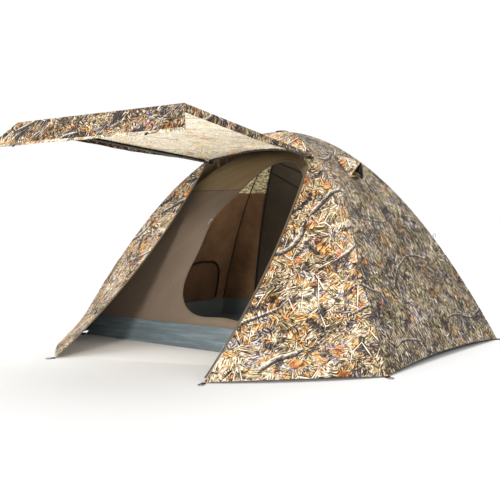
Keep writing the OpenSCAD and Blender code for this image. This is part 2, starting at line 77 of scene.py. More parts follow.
VENT_Y = 0.030  # the vents' middle line
VENT = ((0.36, 0.020), (0.45, 0.055))  # share down the roof and half width, top and bottom
MOUTH_R = 0.4625  # the hoods' mouths, as a share down the roof
MOUTH_LEAN = 0.0276  # how far their peaks lean back
MOUTH_HALF = 0.075
MOUTH_RISE = 0.080
HOOD_START = 0.02  # how far above the hole a hood starts, as a share down the roof
HOOD_TOP_HALF = 0.025
HOOD_OFF = 0.003  # its clearance from the panel

TUB_H = 0.128
WALL_FOOT = TUB_H + 0.001
SEAM_H = 0.892  # the seam between the inner tent's walls and its net
DOOR = (0.170, 0.506)  # the middle of the doorway, across and up

SIDES = ((1, "right"), (-1, "left"))


def height(r, h):
    """Height of a dome at share r of the way from its middle to its edge."""
    return h * (1 - np.abs(r) ** BEND)


def share(z, h):
    """The share of the way at which a dome is at height z."""
    return (1 - np.asarray(z, float) / h) ** (1 / BEND)


def mix(a, b, t):
    return a + (b - a) * t


def stack(x, y, z):
    """Points from their three coordinates, any of which may be one number for all."""
    return np.stack(np.broadcast_arrays(x, y, z), -1).astype(float)


def side_at(r, t, size, c=0.0):
    """The right side of a dome: r from its middle to its edge, t from front to back."""
    d = 1 - c * (1 - t * t) * np.sin(np.pi * np.minimum(r, 1))
    p = stack(r * size[0] / 2, t * (r * size[1] / 2 - SEAM_GAP), height(r, size[2]))
    return p * np.asarray(d)[..., None]


def back_at(r, t, size, c=0.0):
    """The back of a dome: t from left to right."""
    d = 1 - c * (1 - t * t) * np.sin(np.pi * np.minimum(r, 1))
    p = stack(t * (r * size[0] / 2 - SEAM_GAP), r * size[1] / 2, height(r, size[2]))
    return p * np.asarray(d)[..., None]


def front_at(r, t, size, c=0.0):
    return back_at(r, t, size, c) * (1, -1, 1)


def mirrored(p):
    """The same cloth on the left: the rows are read the other way so that it still faces out."""
    return (p * (-1, 1, 1))[:, ::-1]


def handed(p, way):
    """The right side's cloth as it is, or mirrored where way is -1."""
    return p if way > 0 else mirrored(p)


def grid(rows, cols):
    return np.meshgrid(rows, cols, indexing="ij")


def spread(a, b, n, hems=(0.0, 0.0)):
    """n + 1 steps from a to b, with two more for a hem at each end that has one."""
    s = list(np.linspace(0, 1, n + 1))
    for width, flip in zip(hems, (False, True)):
        if width:
            extra = [width, width * 1.12]
            s += [1 - e for e in extra] if flip else extra
    return a + (b - a) * np.array(sorted(s))


# ---- Meshes ----

SHARP_EDGE = math.radians(42)
CLOTH_T = 0.0012
WALL_T = 0.0010  # the inner tent's walls
HEAVY_T = 0.0014  # the tub, the floor and the hoods
NET_T = 0.0006


def normals(p, loop=False):
    """The way out of the cloth at each point of its grid."""
    if loop:
        wide = np.concatenate([p[:, -1:], p, p[:, :1]], 1)
        across = (wide[:, 2:] - wide[:, :-2]) / 2
    else:
        across = np.gradient(p, axis=1)
    down = np.gradient(p, axis=0)
    n = np.cross(down, across)
    return n / np.maximum(np.linalg.norm(n, axis=-1, keepdims=True), 1e-12)


def lengths(p):
    """Distance of each point from the middle column, and down the middle column."""
    step = np.linalg.norm(np.diff(p, axis=1), axis=-1)
    u = np.concatenate([np.zeros((p.shape[0], 1)), np.cumsum(step, 1)], 1)
    u = u - u[:, p.shape[1] // 2][:, None]
    fall = np.linalg.norm(np.diff(p, axis=0), axis=-1)
    v = np.concatenate([np.zeros((1, p.shape[1])), np.cumsum(fall, 0)], 0)
    return u, np.broadcast_to(v[:, p.shape[1] // 2][:, None], u.shape)


def new_object(name, points, faces, mats, index=None, uvs=None):
    """index is each face's material, and uvs the cloth coordinates of each point."""
    me = bpy.data.meshes.new(name)
    me.from_pydata([tuple(q) for q in points], [], [tuple(f) for f in faces])
    for m in mats:
        me.materials.append(m)
    if index is not None:
        me.polygons.foreach_set("material_index", np.array(index, np.int32))
    if uvs is not None:
        layer = me.uv_layers.new(name="cloth")
        loops = np.array([i for f in faces for i in f])
        layer.data.foreach_set("uv", np.asarray(uvs, float)[loops].ravel())
    me.polygons.foreach_set("use_smooth", np.ones(len(faces), bool))
    me.update()
    me.set_sharp_from_angle(angle=SHARP_EDGE)
    o = bpy.data.objects.new(name, me)
    bpy.context.scene.collection.objects.link(o)
    return o


def cloth(name, p, mats, thick=CLOTH_T, loop=False):
    """A closed shell from rows of points seen from outside: outer cloth, inner cloth, cut edge."""
    rows, cols = p.shape[:2]
    q = p - normals(p, loop) * thick
    u, v = lengths(p)
    at = np.arange(rows * cols).reshape(rows, cols)
    inside = at + rows * cols
    if loop:
        at = np.concatenate([at, at[:, :1]], 1)
        inside = np.concatenate([inside, inside[:, :1]], 1)
    a, b, c, d = at[:-1, :-1], at[:-1, 1:], at[1:, 1:], at[1:, :-1]
    front = np.stack([a, d, c, b], -1).reshape(-1, 4)
    a, b, c, d = inside[:-1, :-1], inside[:-1, 1:], inside[1:, 1:], inside[1:, :-1]
    back = np.stack([a, b, c, d], -1).reshape(-1, 4)
    top = np.stack([at[0, :-1], at[0, 1:], inside[0, 1:], inside[0, :-1]], -1)
    foot = np.stack([at[-1, 1:], at[-1, :-1], inside[-1, :-1], inside[-1, 1:]], -1)
    rim = [top, foot]
    if not loop:
        rim.append(np.stack([at[1:, 0], at[:-1, 0], inside[:-1, 0], inside[1:, 0]], -1))
        rim.append(np.stack([at[:-1, -1], at[1:, -1], inside[1:, -1], inside[:-1, -1]], -1))
    rim = np.concatenate(rim)
    faces = np.concatenate([front, back, rim])
    index = [0] * len(front) + [min(1, len(mats) - 1)] * len(back)
    index += [min(2, len(mats) - 1)] * len(rim)
    uv = np.stack([u, -v], -1).reshape(-1, 2)
    points = np.concatenate([p.reshape(-1, 3), q.reshape(-1, 3)])
    return new_object(name, points, faces, mats, index, np.concatenate([uv, uv]))


def sheet(o, body=None):
    """Attaches a piece to its body, where it is given one."""
    if body:
        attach(o, body)


def pipe(name, line, r, mats, up=(0, 0, 1), sides=10):
    """A tube along a line, closed at both ends. r may vary along it."""
    line = np.asarray(line, float)
    n = len(line)
    r = np.broadcast_to(np.asarray(r, float), (n,))
    way = np.gradient(line, axis=0)
    way /= np.linalg.norm(way, axis=1, keepdims=True)
    side = np.cross(way, np.broadcast_to(np.asarray(up, float), line.shape))
    side /= np.linalg.norm(side, axis=1, keepdims=True)
    over = np.cross(side, way)
    turn = 2 * np.pi * np.arange(sides) / sides
    ring = np.cos(turn)[None, :, None] * side[:, None] + np.sin(turn)[None, :, None] * over[:, None]
    points = (line[:, None] + ring * r[:, None, None]).reshape(-1, 3)
    faces = []
    for a in range(0, (n - 1) * sides, sides):
        for k in range(sides):
            m = (k + 1) % sides
            faces.append((a + k, a + m, a + sides + m, a + sides + k))
    faces.append(tuple(range(sides))[::-1])
    faces.append(tuple((n - 1) * sides + k for k in range(sides)))
    far = np.concatenate([[0], np.cumsum(np.linalg.norm(np.diff(line, axis=0), axis=1))])
    uv = np.stack([np.tile(turn * float(r.mean()), n), np.repeat(far, sides)], -1)
    return new_object(name, points, faces, mats, None, uv)


def tape(name, line, out, across, width, mats):
    """A flat strip laid along a line: out is off the cloth, across is its width's way."""
    lift, thick, crown = 0.0006, 0.0010, 0.0004
    line, out = np.asarray(line, float), np.broadcast_to(out, np.shape(line))
    across = np.broadcast_to(across, line.shape)
    across = across / np.linalg.norm(across, axis=1, keepdims=True)
    out = out / np.linalg.norm(out, axis=1, keepdims=True)
    k = np.linspace(-0.5, 0.5, 5)
    rise = lift + thick + crown * np.cos(np.pi * k)
    p = line[:, None] + across[:, None] * (k * width)[None, :, None]
    return cloth(name, p + out[:, None] * rise[None, :, None], mats, thick)


# ---- Folds and creases pressed into a grid of cloth ----

CREASE_START = 0.06  # creases grow over this distance from the corner that they run from


def edge_fade(p, reach=0.05):
    """0 on the cloth's edges, which stay put, and 1 past reach."""
    u, v = lengths(p)
    rows = np.linspace(0, 1, p.shape[0])[:, None]
    cols = np.linspace(0, 1, p.shape[1])[None, :]
    tall = float(np.ptp(v))
    wide = np.maximum(np.ptp(u, axis=1), 1e-6)[:, None]
    fade = np.ones(p.shape[:2])
    for far in (rows * tall, (1 - rows) * tall, cols * wide, (1 - cols) * wide):
        fade = fade * np.clip(far / reach, 0, 1)
    return fade


def ripple(p, scale, seed, stretch=(1.0, 1.0)):
    """Smooth noise over the cloth's own surface."""
    u, v = lengths(p)
    rough, spacing, octaves = 0.9, 2.1, 3
    out = np.zeros(u.shape)
    for i in range(u.shape[0]):
        for j in range(u.shape[1]):
            q = Vector((u[i, j] * scale * stretch[0], v[i, j] * scale * stretch[1], seed))
            out[i, j] = noise.fractal(q, rough, spacing, octaves)
    return out


def creases(p, corner, amp, count, reach, seed):
    """Folds that run out from a point where the cloth is pulled."""
    rel = p - np.asarray(corner, float)
    far = np.linalg.norm(rel, axis=-1)
    n = normals(p).mean((0, 1))
    n /= np.linalg.norm(n)
    e = np.cross(n, (0.3, 0.2, 0.9))  # any direction that no panel faces
    e /= np.linalg.norm(e)
    f = np.cross(n, e)
    turn = np.arctan2(rel @ f, rel @ e)
    wave = np.sin(count * turn + seed) + 0.6 * np.sin(count * 1.7 * turn + seed * 2.3)
    return amp * wave * np.minimum(far / CREASE_START, 1) * np.exp(-far / reach)


def press(p, amount):
    """Moves each point of a cloth out by its own amount."""
    return p + normals(p) * np.asarray(amount)[..., None]


# ---- Materials ----

WAVE = 0.314  # distance between the bands of a wave texture of scale 1


class Shader:
    def __init__(self, name):
        self.mat = bpy.data.materials.new(name)
        self.mat.use_nodes = True
        self.tree = self.mat.node_tree
        self.tree.nodes.clear()
        self.body = self.tree.nodes.new("ShaderNodeBsdfPrincipled")
        out = self.tree.nodes.new("ShaderNodeOutputMaterial")
        self.tree.links.new(self.body.outputs[0], out.inputs[0])

    def add(self, kind, inputs=None, **props):
        node = self.tree.nodes.new("ShaderNode" + kind)
        for key, value in props.items():
            setattr(node, key, value)
        for key, value in (inputs or {}).items():
            self.put(node.inputs[key], value)
        return node

    def put(self, socket, value):
        if isinstance(value, bpy.types.NodeSocket):
            self.tree.links.new(value, socket)
        else:
            socket.default_value = value

    def set(self, **values):
        for key, value in values.items():
            self.put(self.body.inputs[key.replace("_", " ")], value)

    def math(self, op, a, b=0.0, c=0.0):
        return self.add("Math", {0: a, 1: b, 2: c}, operation=op).outputs[0]

    def mix(self, fac, a, b, blend="MIX"):
        node = self.add("Mix", {0: fac}, data_type="RGBA", blend_type=blend)
        self.put(node.inputs[6], a)
        self.put(node.inputs[7], b)
        return node.outputs[2]

    def ramp(self, fac, stops):
        """stops are places with either a colour code or a grey value."""
        node = self.add("ValToRGB", {0: fac})
        ramp = node.color_ramp
        while len(ramp.elements) < len(stops):
            ramp.elements.new(0.5)
        for e, (at, colour) in zip(ramp.elements, stops):
            e.position = at
            e.color = tone(colour) if isinstance(colour, str) else (colour, colour, colour, 1)
        return node.outputs[0]

    def noise(self, vector, scale, detail=3.0, rough=0.55, bend=0.0):
        return self.add("TexNoise", {"Vector": vector, "Scale": scale, "Detail": detail,
                                     "Roughness": rough, "Distortion": bend})

    def cells(self, vector, scale):
        return self.add("TexVoronoi", {"Vector": vector, "Scale": scale})

    def cell_edges(self, vector, scale):
        """Distance from the lines between flat cells."""
        return self.add("TexVoronoi", {"Vector": vector, "Scale": scale, "Randomness": 0.85},
                        feature="DISTANCE_TO_EDGE", voronoi_dimensions="2D").outputs[0]

    def wave(self, vector, scale, way="X", profile="SIN", **inputs):
        named = {key.replace("_", " "): value for key, value in inputs.items()}
        return self.add("TexWave", {"Vector": vector, "Scale": scale, **named},
                        bands_direction=way, wave_profile=profile).outputs[1]

    def placed(self, vector, scale=(1, 1, 1), turn=0.0, move=(0, 0, 0)):
        return self.add("Mapping", {"Vector": vector, "Scale": scale, "Location": move,
                                    "Rotation": (0, 0, turn)}).outputs[0]

    def uv(self):
        return self.add("UVMap", uv_map="cloth").outputs[0]

    def bump(self, value, strength, distance, normal=None):
        node = self.add("Bump", {"Height": value, "Strength": strength, "Distance": distance})
        if normal is not None:
            self.put(node.inputs["Normal"], normal)
        return node.outputs[0]


def tone(code):
    """A colour written as a screen colour, as the shader's linear one."""
    parts = [int(code[i:i + 2], 16) / 255 for i in (0, 2, 4)]
    return tuple(c / 12.92 if c < 0.04045 else ((c + 0.055) / 1.055) ** 2.4 for c in parts) + (1,)


def weave(s, vector, thread, strength):
    """Over-and-under threads as bump, and a value that follows them, low in the dips: painted shade
    where it darkens a colour.
    """
    both = s.math("MULTIPLY", *(s.wave(vector, 0.25 / thread, way) for way in "XY"))
    return both, s.bump(both, strength, 0.0003)


# Tones of the printed strokes, from the gaps between them to the lit tips
CREAM = [(0.28, "1f1917"), (0.40, "5a483c"), (0.48, "9a8268"), (0.55, "cdb796"), (0.63, "efe3c9"),
         (0.76, "fffaee")]
GOLD = [(0.28, "241812"), (0.40, "64401f"), (0.48, "a06c36"), (0.56, "c8975a"), (0.65, "e6c28e"),
        (0.78, "f8e6c2")]
GREY = [(0.28, "191618"), (0.41, "3b3436"), (0.50, "6c6161"), (0.58, "a09390"), (0.66, "cfc5be"),
        (0.78, "f2ebe4")]
OLIVE = [(0.28, "1a1713"), (0.41, "3e3628"), (0.50, "716245"), (0.58, "a39069"), (0.66, "cdbd95"),
         (0.78, "eee3c6")]


def camo(name, mixture=(0.40, 0.60, 0.74), lie=0.0, sweep=3.14, shade=1.0, pale=0.0, seed=0.0,
         dark=0.56, rough=0.62, twigs=0.52, leaf=0.70, limb=(0.9, 0.34, 0.022), bias=0.0,
         strong=1.75):
    """A printed woodland pattern: patches of strokes, leaves, shadows, branches and pale twigs.

    mixture is where gold, grey and olive patches begin, the rest being cream. lie and sweep are
    the middle and the spread of the strokes' directions. limb is the branches' direction, the
    distance between them and how thick they are. bias lightens the strokes, strong is their
    contrast and pale washes it out. shade darkens the whole as painted shade, for panels that
    stand out of the light, multiplied in with a random fade of the print. The higher dark,
    twigs and leaf are, the fewer shadows, twigs and leaves there are.
    """
    s = Shader(name)
    flat = s.placed(s.uv(), move=(seed, seed * 0.7, 0))

    def shaken(vector, scale, far, detail=2.0):
        off = s.add("VectorMath", {0: s.noise(vector, scale, detail).outputs[1]},
                    operation="SUBTRACT")
        off.inputs[1].default_value = (0.5, 0.5, 0.5)
        by = s.add("VectorMath", {0: off.outputs[0]}, operation="SCALE")
        by.inputs[3].default_value = far
        return s.add("VectorMath", {0: vector, 1: by.outputs[0]}, operation="ADD").outputs[0]

    bent = shaken(flat, 5.0, 0.04)
    torn = shaken(bent, 30.0, 0.034, 3.0)

    def patch(scale, stroke, thin, shift):
        """Cells that each hold strokes of one direction: their tone, and the cells' own numbers."""
        cell = s.cells(s.placed(torn, (1, 1.3, 1), 0.7 + lie, (shift, shift, 0)), scale)
        own = s.add("SeparateColor", {0: cell.outputs[1]})
        turn = s.math("MULTIPLY_ADD", own.outputs[0], sweep, lie - sweep / 2)
        spun = s.add("VectorRotate", {"Vector": bent, "Angle": turn}, rotation_type="Z_AXIS")
        strokes = s.noise(s.placed(spun.outputs[0], (1, thin, 1)), stroke, 4.0, 0.62, 0.2)
        return strokes.outputs[0], own

    wide, own_wide = patch(11.0, 24.0, 5.0, 0.0)
    fine, own_fine = patch(22.0, 34.0, 5.0, 3.7)
    pick = s.ramp(s.noise(bent, 13.0, 2.0).outputs[0], [(0.48, 0.0), (0.50, 1.0)])
    value = s.add("Mix", {0: pick, 2: wide, 3: fine}).outputs[0]
    kind = s.add("Mix", {0: pick, 2: own_wide.outputs[1], 3: own_fine.outputs[1]}).outputs[0]
    value = s.math("MULTIPLY_ADD", value, strong, (1 - strong) / 2 + bias)
    # Whole regions are lighter or darker
    broad = s.noise(bent, 5.5, 2.0, 0.55, 0.4).outputs[0]
    value = s.math("ADD", value, s.math("MULTIPLY_ADD", broad, 0.40, -0.20))
    value = s.math("ADD", value, s.math("MULTIPLY_ADD", kind, 0.10, -0.05))
    colour = s.ramp(value, CREAM)
    for start, tones in zip(mixture, (GOLD, GREY, OLIVE)):
        colour = s.mix(s.math("GREATER_THAN", kind, start), colour, s.ramp(value, tones))
    # Leaves in clumps, ragged and rusty
    clump = s.cells(s.placed(torn, (1, 1, 1), 0.3, (1.3, 2.1, 0)), 16.0)
    own = s.add("SeparateColor", {0: clump.outputs[1]})
    far = s.math("MULTIPLY_ADD", value, -0.60, s.math("ADD", clump.outputs[0], 0.31))
    inside = s.ramp(far, [(0.32, 1.0), (0.38, 0.0)])
    kept = s.math("GREATER_THAN", own.outputs[0], leaf)
    rust = s.ramp(own.outputs[1], [(0.0, "e0b878"), (0.3, "cf9450"), (0.6, "bf6e3c"),
                                   (0.85, "96523a"), (1.0, "e8d6ae")])
    lit = s.ramp(value, [(0.32, 0.12), (0.50, 0.75), (0.66, 1.55)])
    rust = s.mix(1.0, rust, lit, "MULTIPLY")
    colour = s.mix(s.math("MULTIPLY", s.math("MULTIPLY", inside, kept), 0.85), colour, rust)
    # Deep shadows, torn at their edges
    gap = s.ramp(s.noise(torn, 10.0, 3.0, 0.55, 0.6).outputs[0],
                 [(dark, 0.0), (dark + 0.035, 1.0)])
    night = s.ramp(value, [(0.40, "1d1819"), (0.60, "3d3437"), (0.70, "8d7f74")])
    colour = s.mix(s.math("MULTIPLY", gap, 0.9), colour, night)
    # Branches with a lit and a dark side
    turn, apart, thick = limb
    band = s.wave(s.placed(bent, turn=turn), WAVE / apart, profile="SAW", Distortion=4.2,
                  Detail=0.6, Detail_Scale=2.2)
    there = s.ramp(s.noise(flat, 4.2, 1.0).outputs[0], [(0.44, 0.0), (0.56, 1.0)])
    half = s.math("MULTIPLY", there, thick / apart / 2)
    off = s.math("SUBTRACT", band, 0.5)
    solid = s.math("LESS_THAN", s.math("ABSOLUTE", off), half)
    shade_side = s.math("SUBTRACT", off, thick / apart * 0.35)
    under = s.math("LESS_THAN", s.math("ABSOLUTE", shade_side), half)
    bark = s.ramp(s.math("MULTIPLY_ADD", s.math("DIVIDE", off, thick / apart), -0.6,
                         s.math("MULTIPLY", value, 0.9)),
                  [(0.25, "3c3436"), (0.45, "7f736b"), (0.62, "cfc3b2"), (0.75, "f0e8da")])
    colour = s.mix(s.math("MULTIPLY", under, 0.9), colour, tone("1b1617"))
    colour = s.mix(solid, colour, bark)
    # Thin pale twigs that fork and taper, each with a dark side
    some = s.ramp(s.noise(flat, 6.5, 1.0).outputs[0], [(twigs, 0.0), (twigs + 0.10, 1.0)])
    for size, turn, width in ((5.2, 0.3, 0.011), (8.5, 1.4, 0.014)):
        for shift, over in ((0.003, "231d1d"), (0.0, "f1e9da")):
            at = s.placed(flat, (1.0, 0.42, 1.0), turn + lie, (shift, shift, 0))
            line = s.math("LESS_THAN", s.cell_edges(at, size), s.math("MULTIPLY", some, width))
            colour = s.mix(s.math("MULTIPLY", line, 0.9), colour, tone(over))
    if pale:
        colour = s.mix(pale, colour, tone("f2ecd2"))
    # A random fade of the print, multiplied by shade: where shade is below 1 this is painted shade
    # over the whole panel
    fade = s.noise(flat, 2.0, 3.0).outputs[0]
    wear_and_painted_shade = s.ramp(fade, [(0.3, 0.90 * shade), (0.7, 1.0 * shade)])
    colour = s.mix(1.0, colour, wear_and_painted_shade, "MULTIPLY")
    _, normal = weave(s, flat, 0.0016, 0.25)
    normal = s.bump(s.noise(flat, 16.0, 4.0, 0.6).outputs[0], 0.30, 0.004, normal)
    s.set(Base_Color=colour, Roughness=rough, Normal=normal, Specular_IOR_Level=0.16)
    return s.mat


def plain_cloth(name, base, dark, rough=0.8, patchy=0.25, crumple=0.25, streaks=None, shine=0.2,
                above=None):
    """One-colour woven cloth with soft blotches and small creases.

    above is the base and dark colour of the cloth over a seam, and the seam's height.
    """
    s = Shader(name)
    flat = s.uv()
    blotch = s.ramp(s.noise(flat, 3.5, 4.0, 0.6).outputs[0], [(0.3, 0.0), (0.7, 1.0)])
    colour = s.mix(blotch, tone(dark), tone(base))
    fine = s.noise(flat, 60.0, 3.0, 0.6).outputs[0]
    colour = s.mix(patchy, colour, s.ramp(fine, [(0.35, 0.75), (0.65, 1.1)]), "MULTIPLY")
    if streaks:
        run = s.noise(s.placed(flat, (0.6, 7.0, 1.0)), 6.0, 3.0).outputs[0]
        colour = s.mix(s.ramp(run, [(0.45, 0.0), (0.7, 0.7)]), colour, tone(streaks))
    if above:
        here = s.add("SeparateXYZ", {0: s.add("TexCoord").outputs["Object"]}).outputs[2]
        over_base, over_dark, seam = above
        over = s.mix(blotch, tone(over_dark), tone(over_base))
        colour = s.mix(s.math("GREATER_THAN", here, seam), colour, over)
        far = s.math("ABSOLUTE", s.math("SUBTRACT", here, seam))
        colour = s.mix(s.math("LESS_THAN", far, 0.0016), colour, tone("463a2c"))
    threads, normal = weave(s, flat, 0.0015, 0.35)
    # Painted shade: the cloth is made a little darker in the weave's dips
    colour = s.mix(0.12, colour, threads, "MULTIPLY")
    normal = s.bump(s.noise(flat, 14.0, 4.0, 0.6, 0.3).outputs[0], crumple, 0.005, normal)
    s.set(Base_Color=colour, Roughness=rough, Normal=normal, Specular_IOR_Level=shine)
    return s.mat


def webbing(name, base, dark):
    """Woven tape with ribs across it."""
    s = Shader(name)
    rib = s.wave(s.uv(), 180.0, "Y", Distortion=1.2)
    # Painted shade: the tape is darker in the grooves between its ribs
    colour = s.mix(rib, tone(dark), tone(base))
    s.set(Base_Color=colour, Roughness=0.75, Normal=s.bump(rib, 0.5, 0.0005),
          Specular_IOR_Level=0.25)
    return s.mat


def moulded(name, base, light):
    """Moulded nylon: fine grain, and paler where it is worn."""
    s = Shader(name)
    here = s.add("TexCoord").outputs["Object"]
    grain = s.noise(here, 900.0, 3.0).outputs[0]
    wear = s.ramp(s.noise(here, 60.0, 4.0, 0.65).outputs[0], [(0.45, 0.0), (0.75, 0.6)])
    colour = s.mix(wear, tone(base), tone(light))
    s.set(Base_Color=colour, Roughness=0.45, Normal=s.bump(grain, 0.2, 0.0003))
    return s.mat


def metal(name, base, dark):
    """Nickelled steel with light scuffs."""
    s = Shader(name)
    here = s.add("TexCoord").outputs["Object"]
    scuff = s.noise(s.placed(here, (1, 1, 8)), 220.0, 4.0, 0.7).outputs[0]
    colour = s.mix(s.ramp(scuff, [(0.4, 0.0), (0.7, 1.0)]), tone(base), tone(dark))
    s.set(Base_Color=colour, Metallic=1.0, Roughness=0.32, Normal=s.bump(scuff, 0.1, 0.0002))
    return s.mat


def rod(name, base, light):
    """Fibreglass rod: gloss over fine lengthwise fibres."""
    s = Shader(name)
    here = s.add("TexCoord").outputs["Object"]
    fibre = s.noise(s.placed(here, (3, 3, 40)), 40.0, 3.0).outputs[0]
    colour = s.mix(s.ramp(fibre, [(0.4, 0.0), (0.7, 1.0)]), tone(base), tone(light))
    s.set(Base_Color=colour, Roughness=0.3, Normal=s.bump(fibre, 0.1, 0.0003))
    return s.mat


def net(name, base, dark, closed=0.75):
    """Insect mesh: mottled threads with gaps that let light through."""
    s = Shader(name)
    flat = s.uv()
    thread = s.math("MAXIMUM", *(s.wave(flat, 0.25 / 0.0011, way) for way in "XY"))
    shown = s.ramp(thread, [(0.55, 0.2 * closed), (0.85, closed)])
    blotch = s.noise(s.placed(flat, (1, 2.5, 1), 0.5), 26.0, 4.0, 0.65).outputs[0]
    colour = s.mix(s.ramp(blotch, [(0.44, 0.0), (0.56, 1.0)]), tone(dark), tone(base))
    s.set(Base_Color=colour, Roughness=0.8, Alpha=shown, Normal=s.bump(thread, 0.3, 0.0004))
    return s.mat


camo_vestibule = camo("camo_vestibule", seed=3.0)
# The roof's print is a little lighter (bias) as painted light on the top, which faces the sky
camo_roof = camo("camo_roof", seed=8.3, bias=0.02)
# The side and back panels' print is darker (shade and bias) as painted shade, for panels that face
# away from the light
camo_side_painted_shade = camo("camo_side_painted_shade", (0.30, 0.36, 0.52), lie=1.35, sweep=0.55, shade=0.82, seed=5.0,
                 twigs=0.62, leaf=0.88, limb=(1.5, 0.36, 0.016), bias=-0.08, strong=2.5,
                 dark=0.60)
camo_awning = camo("camo_awning", (0.36, 0.56, 0.74), lie=1.2, sweep=1.8, seed=11.0, leaf=0.6,
                   bias=-0.04)
# The awning's and valance's underside: the print's paler reverse, made paler and lighter still
# (pale and bias) as painted light for the sun that shines through the cloth
camo_within_painted_glow = camo("camo_within_painted_glow", (0.62, 0.68, 0.80), seed=11.0, lie=0.3, sweep=1.2, pale=0.26,
                   rough=0.75, dark=0.70, leaf=0.92, bias=0.26, strong=2.3)
# The skirts' inside faces: the print made darker (bias and shade) as painted shade, for the far
# skirt seen from under the awning
camo_skirt_painted_shade = camo("camo_skirt_painted_shade", (0.3, 0.4, 0.6), seed=14.0, lie=0.4, bias=-0.12, shade=0.8)
camo_lining = camo("camo_lining", (0.4, 0.5, 0.6), seed=6.0, pale=0.15, bias=0.05, rough=0.8)
taupe = plain_cloth("front_cloth", "706256", "675a4d", above=("806e55", "6d5e45", SEAM_H))
olive = plain_cloth("olive_cloth", "7c6b52", "675843")
# Painted light: the inner tent's inside faces are a warm brown for the glow of sunlight coming
# through the fly and the walls, and the darker brown is painted shade in the middle of the back
# wall
brown = plain_cloth("lit_brown_cloth", "836449", "5b432e", patchy=0.5, crumple=0.7)
painted_shade_brown = plain_cloth("painted_shade_brown_cloth", "3f362b", "2e2a25", crumple=0.4)
# The vent hoods' inside is near black as painted shade in the hoods' mouths
hood_painted_shade_lining = plain_cloth("hood_painted_shade_lining", "2b251e", "1c1813", crumple=0.4)
pocket_cloth = plain_cloth("pocket_cloth", "6a4f38", "4a3626", crumple=0.6)
slate = plain_cloth("slate_tub", "606b71", "4e595f", rough=0.55, crumple=0.45,
                    streaks="748389", shine=0.35)
slate_dark = plain_cloth("slate_floor", "62696a", "50575a", rough=0.6, crumple=0.4)
black_tape = webbing("black_tape", "191816", "0b0a0a")
brown_tape = webbing("brown_tape", "4b3f33", "2c241d")
drab_tape = webbing("drab_tape", "6e614f", "4a4033")
black_part = moulded("black_nylon", "121212", "2b2a28")
nickel = metal("nickel", "b9b7b1", "7d7a74")
pole_rod = rod("pole_rod", "3d3d3c", "585652")
insect_net = net("insect_net", "2a261f", "15130f")
inner_net = net("inner_net", "efe5bf", "857a58", 0.95)

# ---- The CAD's own parts keep their shapes and take these finishes ----

finishes = (
    (pole_rod, "pole_a pole_b brow_batten awning_stays awning_ridge_stay"),
    (nickel, "pole_ferrules corner_eyelets vestibule_eyelets door_slider door_pull"),
    (nickel, "zip_slider_right zip_slider_left zip_pull_right zip_pull_left"),
    (black_part, "pole_feet pole_clips apex_clip corner_buckles brow_brackets strut_bases"),
    (black_part, "edge_toggles awning_sockets vent_strut_right vent_strut_left door_ties"),
    (black_part, "lantern_loop guy_loops"),
    (drab_tape, "tie_straps"),
    (black_tape, "corner_straps vestibule_straps"),
    (brown_tape, "valance_loops apex_patch"),
)
for finish, nodes in finishes:
    for node in nodes.split():
        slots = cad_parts[node].data.materials
        slots.clear()
        slots.append(finish)

# ---- Fly ----


def brow_at(t):
    """The arched brow over the front door, t from left to right."""
    z = height(BROW_R, FLY[2]) + BROW_ARCH * (1 - t * t)
    return stack(t * BROW_R * FLY[0] / 2, -share(z, FLY[2]) * FLY[1] / 2, z)


brow_corner = brow_at(np.array(1.0))
door_down = STAKE - brow_corner
door_down /= np.linalg.norm(door_down)
door_out = np.cross(door_down, (1, 0, 0))
door_out /= np.linalg.norm(door_out)


def edge_at(s):
    """The free edge of the right vestibule panel, s of the way from brow to stake."""
    s = np.asarray(s, float)[..., None]
    return mix(brow_corner, STAKE, s) - 4 * s * (1 - s) * EDGE_SAG * door_out


def hem_r(t):
    """The share of the way at which a fly panel ends, on its hem."""
    return share(HEM_Z + HEM_LIFT * (1 - t * t), FLY[2])


def stray(r):
    """How far the front edge of a side panel, as t, lies behind the pole."""
    u = np.clip((r - BROW_R) / (STRAY_END - BROW_R), 0, 1)
    return STRAY * np.sin(np.pi * u ** 0.6)


V, T = grid(spread(0, 1, 26, (0, 0.03)), np.linspace(-1, 1, 61))
R = mix(TIP, share(brow_at(T)[..., 2], FLY[2]), V)
roof_p = front_at(R, T, FLY, SAG)
fold = 0.003 * ripple(roof_p, 5.0, 1.7)
fold += creases(roof_p, brow_corner, 0.003, 12, 0.16, 0.4)
fold += creases(roof_p, brow_corner * (-1, 1, 1), 0.003, 12, 0.16, 1.9)
roof_p = press(roof_p, edge_fade(roof_p, 0.03) * fold)
roof = cloth("fly_roof", roof_p, (camo_roof, olive, black_tape))
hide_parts("fly_front_roof")
sheet(roof, "tent")

V, C = grid(spread(0, 1, 96, (0, 0.012)), np.linspace(0, 1, 73))
R = mix(TIP, hem_r(2 * C - 1), V)
side_p = side_at(R, mix(-1 + stray(R), 1, C), FLY, SAG)
fold = 0.0045 * ripple(side_p, 2.6, 4.2, (1.6, 0.7)) + 0.0016 * ripple(side_p, 9.0, 2.0)
for k in (-1, 1):
    fold += creases(side_p, (HALF_W, k * HALF_L, 0), 0.0042, 13, 0.30, 1.3 + k / 2)
side_p = press(side_p, edge_fade(side_p, 0.06) * fold)

CUT_Z = (0.8, FLY[2] - 0.01)  # from under the vents to over them

(r0, y0), (r1, y1) = VENT
roof_tilt = math.atan2(FLY[2] * BEND * MOUTH_R ** (BEND - 1), HALF_W)
roof_out = np.array([math.sin(roof_tilt), 0, math.cos(roof_tilt)])


def on_side(r, y):
    """A point of the right side panel at share r, y back from its middle."""
    return side_at(r, y / (r * HALF_L), FLY, SAG)


